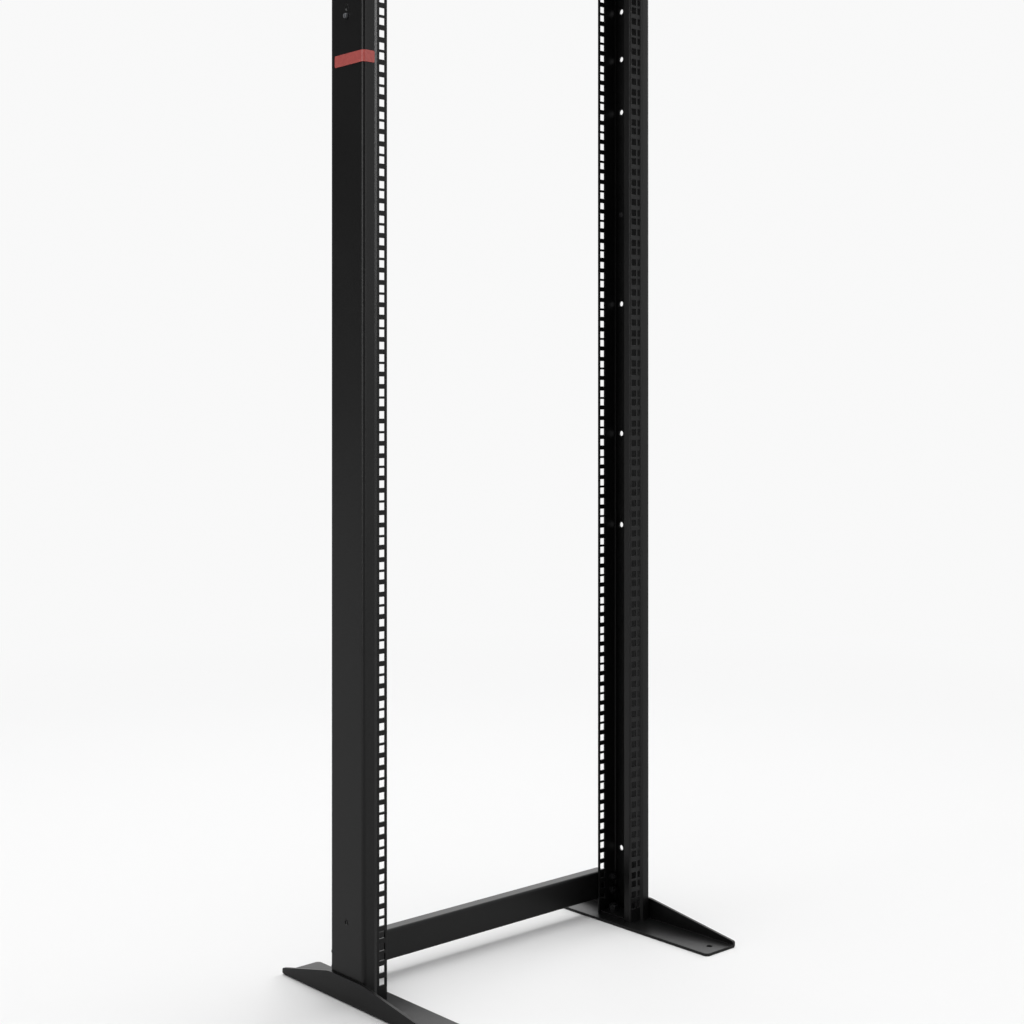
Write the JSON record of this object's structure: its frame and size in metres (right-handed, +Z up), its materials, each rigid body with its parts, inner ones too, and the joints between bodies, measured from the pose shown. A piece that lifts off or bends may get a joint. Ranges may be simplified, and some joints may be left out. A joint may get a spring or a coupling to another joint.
{
  "type": "two-post relay rack",
  "caption": "Free-standing open-frame rack with two perforated channel uprights on angle feet, joined by crossbars, that holds 19-inch network and server equipment.",
  "frame": {"origin": "on the floor, at the centre of the footprint", "axes": "+Z up the uprights, +X to the right of somebody facing the front, so the front looks towards -Y"},
  "size_m": [0.537, 0.338, 2.134],
  "materials": {
    "black_powder_coat": "fine-textured satin black powder coat on sheet steel",
    "rail_powder_coat": "fine-textured satin black powder coat on perforated sheet steel",
    "black_oxide": "black oxide on turned and stamped steel",
    "zinc_plated": "bright zinc plate",
    "black_nylon": "moulded black nylon",
    "badge_red": "semi-gloss red plate with no lettering"
  },
  "bodies": {
    "root": {"upright_left": "black_powder_coat", "upright_right": "black_powder_coat", "rail_front_left": "rail_powder_coat", "rail_rear_left": "black_powder_coat", "rail_front_right": "black_powder_coat", "rail_rear_right": "rail_powder_coat", "foot_left": "black_powder_coat", "foot_right": "black_powder_coat", "sole_plate_left": "black_powder_coat", "sole_plate_right": "black_powder_coat", "crossbar_bottom": "black_powder_coat", "crossbar_top_rear": "black_powder_coat", "crossbar_top_front": "black_powder_coat", "bottom_bar_bolts": "black_oxide", "bottom_bar_washers": "black_oxide", "bottom_bar_nuts": "black_oxide", "top_rear_bar_bolts": "black_oxide", "top_rear_bar_washers": "black_oxide", "top_rear_bar_nuts": "black_oxide", "top_front_bar_bolts": "black_oxide", "top_front_bar_washers": "black_oxide", "top_front_bar_nuts": "black_oxide", "foot_screws_left": "black_oxide", "foot_washers_left": "black_oxide", "foot_nuts_left": "black_oxide", "foot_screws_right": "black_oxide", "foot_washers_right": "black_oxide", "foot_nuts_right": "black_oxide", "badge": "badge_red", "earth_screw": "zinc_plated", "earth_washer": "black_oxide", "earth_nut": "zinc_plated", "web_plug": "black_nylon"}
  },
  "joints": []
}
